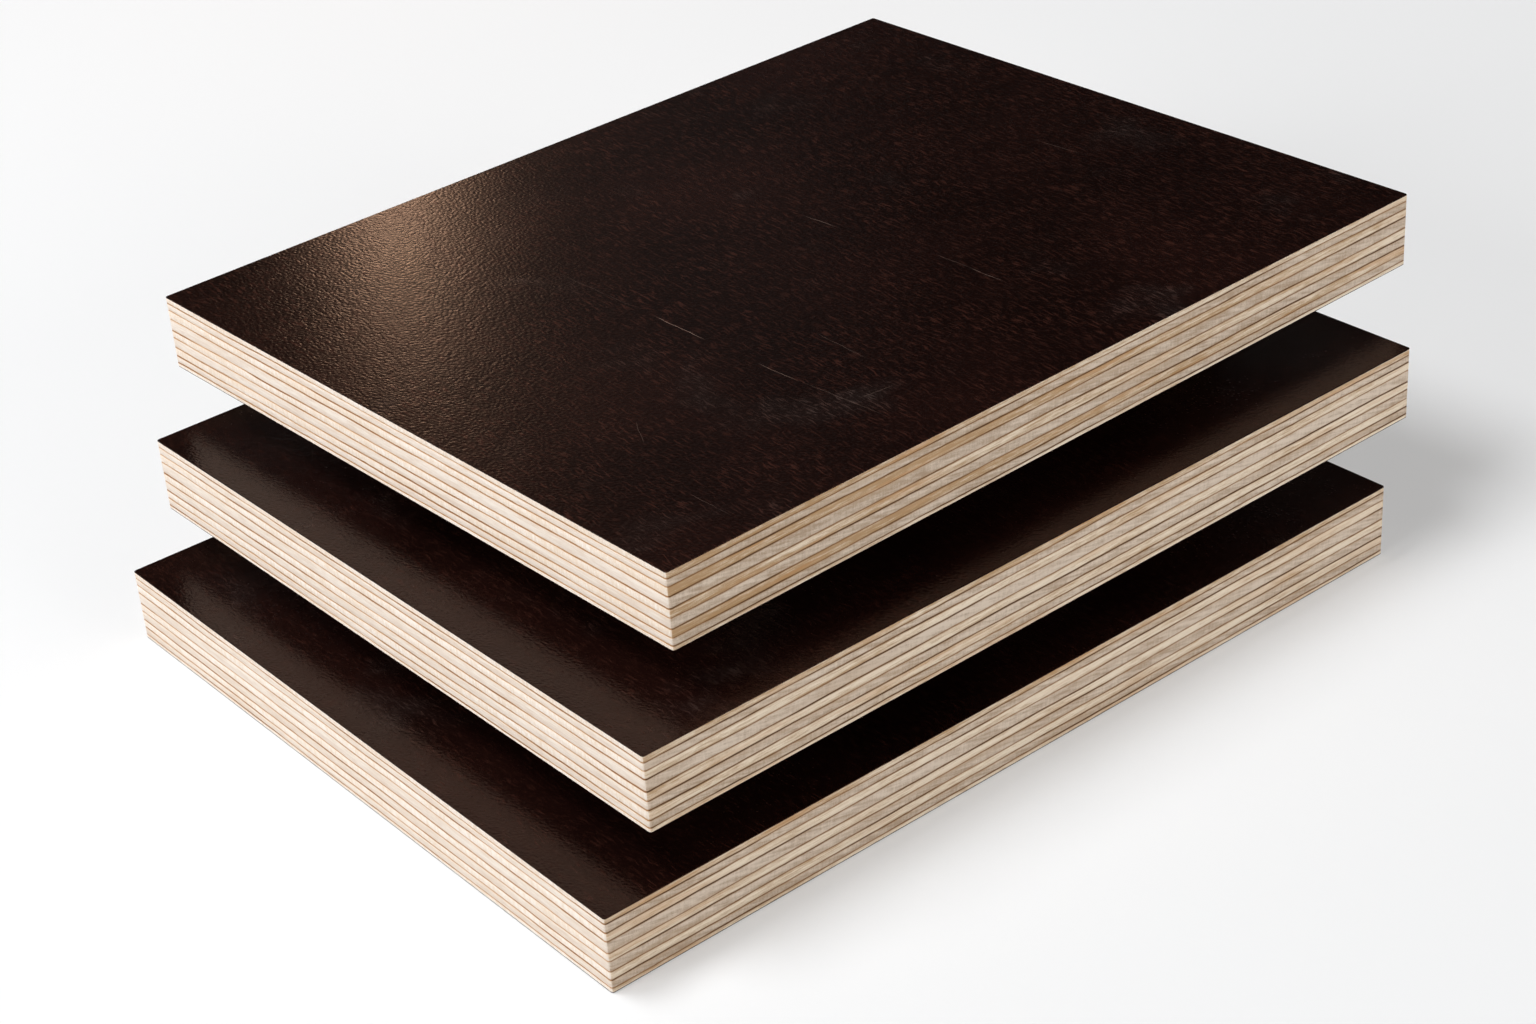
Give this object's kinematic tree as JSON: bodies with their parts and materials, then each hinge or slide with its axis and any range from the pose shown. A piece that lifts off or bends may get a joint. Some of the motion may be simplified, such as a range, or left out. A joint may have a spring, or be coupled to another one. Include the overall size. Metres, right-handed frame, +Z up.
{
  "type": "stack of plywood sheets",
  "caption": "Stack of small film-faced plywood panels laid flat on thin laths, each stepped back from the one below so that the bare layered edges and dark faces show.",
  "frame": {"origin": "centre of the bottom sheet's underside", "axes": "+X along the bottom sheet's length, +Y along its width, +Z up out of the stack"},
  "size_m": [0.1728, 0.1363, 0.048],
  "materials": {
    "film": "dark brown phenolic film, satin with a fine pressed grain",
    "long_veneer": "bare sawn birch veneer edge, pale cream",
    "cross_veneer": "bare sawn birch veneer edge, greyer end grain",
    "lath": "plain planed softwood"
  },
  "bodies": {
    "root": {"bottom_sheet_back_film": "film", "bottom_sheet_back_veneer": "long_veneer", "bottom_sheet_veneer_2": "cross_veneer", "bottom_sheet_veneer_3": "long_veneer", "bottom_sheet_veneer_4": "cross_veneer", "bottom_sheet_veneer_5": "long_veneer", "bottom_sheet_veneer_6": "cross_veneer", "bottom_sheet_veneer_7": "long_veneer", "bottom_sheet_veneer_8": "cross_veneer", "bottom_sheet_face_veneer": "long_veneer", "bottom_sheet_face_film": "film", "middle_sheet_back_film": "film", "middle_sheet_back_veneer": "long_veneer", "middle_sheet_veneer_2": "cross_veneer", "middle_sheet_veneer_3": "long_veneer", "middle_sheet_veneer_4": "cross_veneer", "middle_sheet_veneer_5": "long_veneer", "middle_sheet_veneer_6": "cross_veneer", "middle_sheet_veneer_7": "long_veneer", "middle_sheet_veneer_8": "cross_veneer", "middle_sheet_face_veneer": "long_veneer", "middle_sheet_face_film": "film", "top_sheet_back_film": "film", "top_sheet_back_veneer": "long_veneer", "top_sheet_veneer_2": "cross_veneer", "top_sheet_veneer_3": "long_veneer", "top_sheet_veneer_4": "cross_veneer", "top_sheet_veneer_5": "long_veneer", "top_sheet_veneer_6": "cross_veneer", "top_sheet_veneer_7": "long_veneer", "top_sheet_veneer_8": "cross_veneer", "top_sheet_face_veneer": "long_veneer", "top_sheet_face_film": "film", "left_lath_under_middle_sheet": "lath", "right_lath_under_middle_sheet": "lath", "left_lath_under_top_sheet": "lath", "right_lath_under_top_sheet": "lath"}
  },
  "joints": []
}
